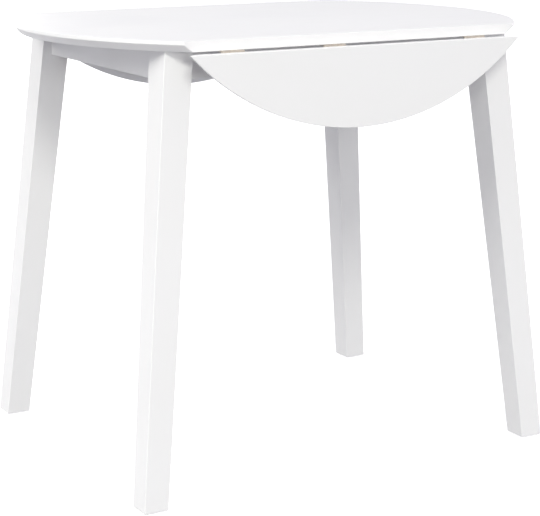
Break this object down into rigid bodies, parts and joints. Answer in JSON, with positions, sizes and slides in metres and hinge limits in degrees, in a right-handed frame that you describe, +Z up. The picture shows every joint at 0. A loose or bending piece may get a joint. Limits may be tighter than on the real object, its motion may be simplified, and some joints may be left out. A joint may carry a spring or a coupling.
{
  "type": "drop-leaf table",
  "caption": "White painted round table with a fixed centre, a hinged leaf hanging on each long side, and splayed tapered square legs.",
  "frame": {"origin": "on the floor under the middle of the top", "axes": "+Z up, +X along the hinged joints, +Y from the front leaf to the rear leaf"},
  "size_m": [0.867, 0.6452, 0.74],
  "materials": {
    "painted_wood": "white satin lacquer over wood",
    "block_wood": "bare pine",
    "hinge_brass": "pale satin brass plate",
    "zinc_steel": "bright zinc plate",
    "glide_nylon": "moulded off-white nylon"
  },
  "bodies": {
    "frame": {"centre_top": "painted_wood", "apron_left": "painted_wood", "apron_right": "painted_wood", "apron_front": "painted_wood", "apron_rear": "painted_wood", "leg_front_left": "painted_wood", "corner_block_front_left": "block_wood", "leg_bolt_front_left": "zinc_steel", "leg_nut_front_left": "zinc_steel", "foot_glide_front_left": "glide_nylon", "leg_front_right": "painted_wood", "corner_block_front_right": "block_wood", "leg_bolt_front_right": "zinc_steel", "leg_nut_front_right": "zinc_steel", "foot_glide_front_right": "glide_nylon", "leg_rear_left": "painted_wood", "corner_block_rear_left": "block_wood", "leg_bolt_rear_left": "zinc_steel", "leg_nut_rear_left": "zinc_steel", "foot_glide_rear_left": "glide_nylon", "leg_rear_right": "painted_wood", "corner_block_rear_right": "block_wood", "leg_bolt_rear_right": "zinc_steel", "leg_nut_rear_right": "zinc_steel", "foot_glide_rear_right": "glide_nylon", "hinge_plate_top_front_left": "hinge_brass", "hinge_pin_front_left": "hinge_brass", "hinge_plate_top_front_middle": "hinge_brass", "hinge_pin_front_middle": "hinge_brass", "hinge_plate_top_front_right": "hinge_brass", "hinge_pin_front_right": "hinge_brass", "stay_bracket_apron_front": "zinc_steel", "stay_rivet_apron_front": "zinc_steel", "hinge_plate_top_rear_left": "hinge_brass", "hinge_pin_rear_left": "hinge_brass", "hinge_plate_top_rear_middle": "hinge_brass", "hinge_pin_rear_middle": "hinge_brass", "hinge_plate_top_rear_right": "hinge_brass", "hinge_pin_rear_right": "hinge_brass", "stay_bracket_apron_rear": "zinc_steel", "stay_rivet_apron_rear": "zinc_steel"},
    "front_leaf": {"leaf_front": "painted_wood", "hinge_plate_leaf_front_left": "hinge_brass", "hinge_plate_leaf_front_middle": "hinge_brass", "hinge_plate_leaf_front_right": "hinge_brass", "stay_bracket_leaf_front": "zinc_steel", "stay_rivet_leaf_front": "zinc_steel"},
    "front_stay_lower": {"stay_link_lower_front": "zinc_steel", "stay_rivet_elbow_front": "zinc_steel"},
    "front_stay_upper": {"stay_link_upper_front": "zinc_steel"},
    "rear_leaf": {"leaf_rear": "painted_wood", "hinge_plate_leaf_rear_left": "hinge_brass", "hinge_plate_leaf_rear_middle": "hinge_brass", "hinge_plate_leaf_rear_right": "hinge_brass", "stay_bracket_leaf_rear": "zinc_steel", "stay_rivet_leaf_rear": "zinc_steel"},
    "rear_stay_lower": {"stay_link_lower_rear": "zinc_steel", "stay_rivet_elbow_rear": "zinc_steel"},
    "rear_stay_upper": {"stay_link_upper_rear": "zinc_steel"}
  },
  "joints": [
    {"name": "front_leaf_hinge", "type": "hinge", "parent": "frame", "child": "front_leaf", "pos_m": [0, -0.303, 0.7204], "axis": [-1, 0, 0], "range_deg": [0, 90]},
    {"name": "front_stay_apron_pivot", "type": "hinge", "parent": "frame", "child": "front_stay_lower", "pos_m": [0.003, -0.2344, 0.6984], "axis": [-1, 0, 0], "range_deg": [0, 100]},
    {"name": "front_stay_leaf_pivot", "type": "hinge", "parent": "front_leaf", "child": "front_stay_upper", "pos_m": [0.003, -0.2956, 0.6754], "axis": [-1, 0, 0], "range_deg": [-104, 0]},
    {"name": "rear_leaf_hinge", "type": "hinge", "parent": "frame", "child": "rear_leaf", "pos_m": [0, 0.303, 0.7204], "axis": [1, 0, 0], "range_deg": [0, 90]},
    {"name": "rear_stay_apron_pivot", "type": "hinge", "parent": "frame", "child": "rear_stay_lower", "pos_m": [-0.003, 0.2344, 0.6984], "axis": [1, 0, 0], "range_deg": [0, 100]},
    {"name": "rear_stay_leaf_pivot", "type": "hinge", "parent": "rear_leaf", "child": "rear_stay_upper", "pos_m": [-0.003, 0.2956, 0.6754], "axis": [1, 0, 0], "range_deg": [-104, 0]}
  ],
  "couplings": [
    {"joint": "front_stay_apron_pivot", "follows": "front_leaf_hinge", "ratio": 1.1085},
    {"joint": "front_stay_leaf_pivot", "follows": "front_leaf_hinge", "ratio": -1.1489},
    {"joint": "rear_stay_apron_pivot", "follows": "rear_leaf_hinge", "ratio": 1.1085},
    {"joint": "rear_stay_leaf_pivot", "follows": "rear_leaf_hinge", "ratio": -1.1489}
  ]
}
